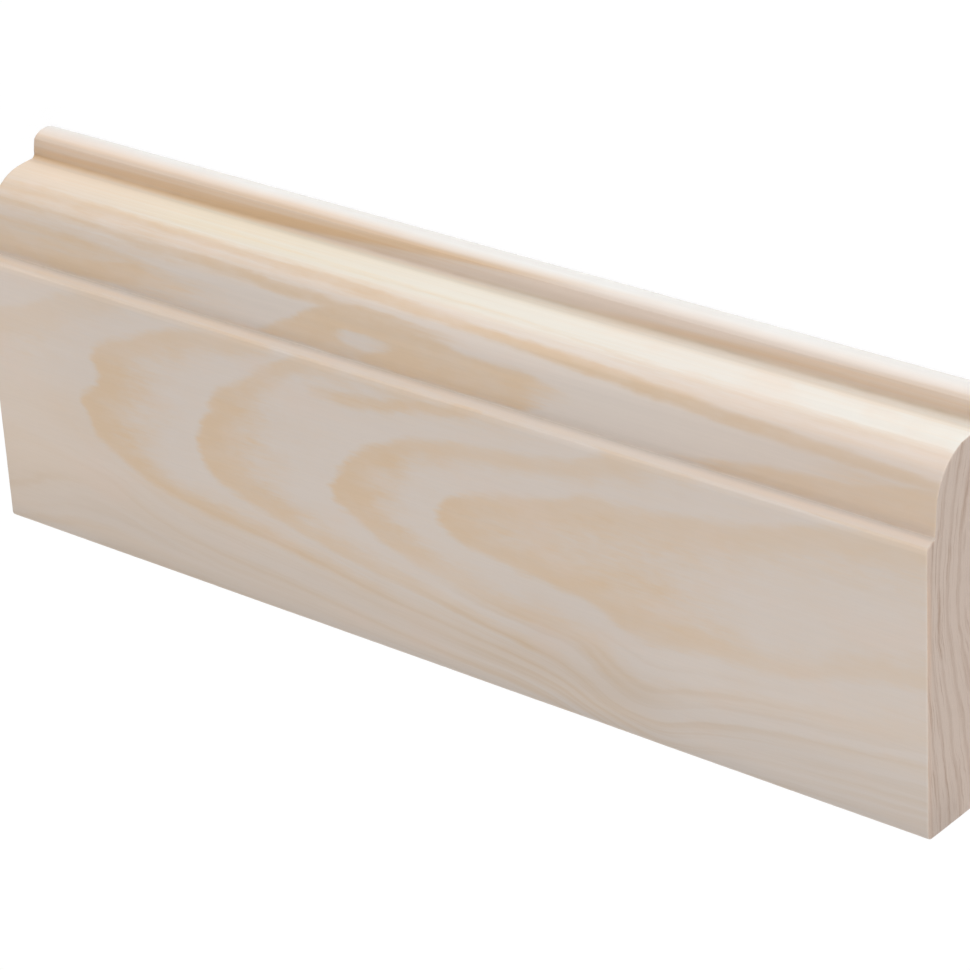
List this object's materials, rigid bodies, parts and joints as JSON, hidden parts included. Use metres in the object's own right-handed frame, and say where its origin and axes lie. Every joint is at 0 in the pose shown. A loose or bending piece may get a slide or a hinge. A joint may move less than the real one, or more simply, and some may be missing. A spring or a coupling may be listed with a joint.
{
  "type": "ogee architrave",
  "caption": "Length of planed pine architrave: flat face, stepped ogee and raised bead along one edge, flat back, for trimming round a door or window.",
  "frame": {"origin": "middle of the flat back, at half the length and half the width", "axes": "+X along the length, +Y across the width from the plain edge to the bead, +Z out of the moulded face"},
  "size_m": [0.197, 0.069, 0.0205],
  "materials": {
    "pine": "planed smooth, unfinished"
  },
  "bodies": {
    "root": {"architrave": "pine"}
  },
  "joints": []
}
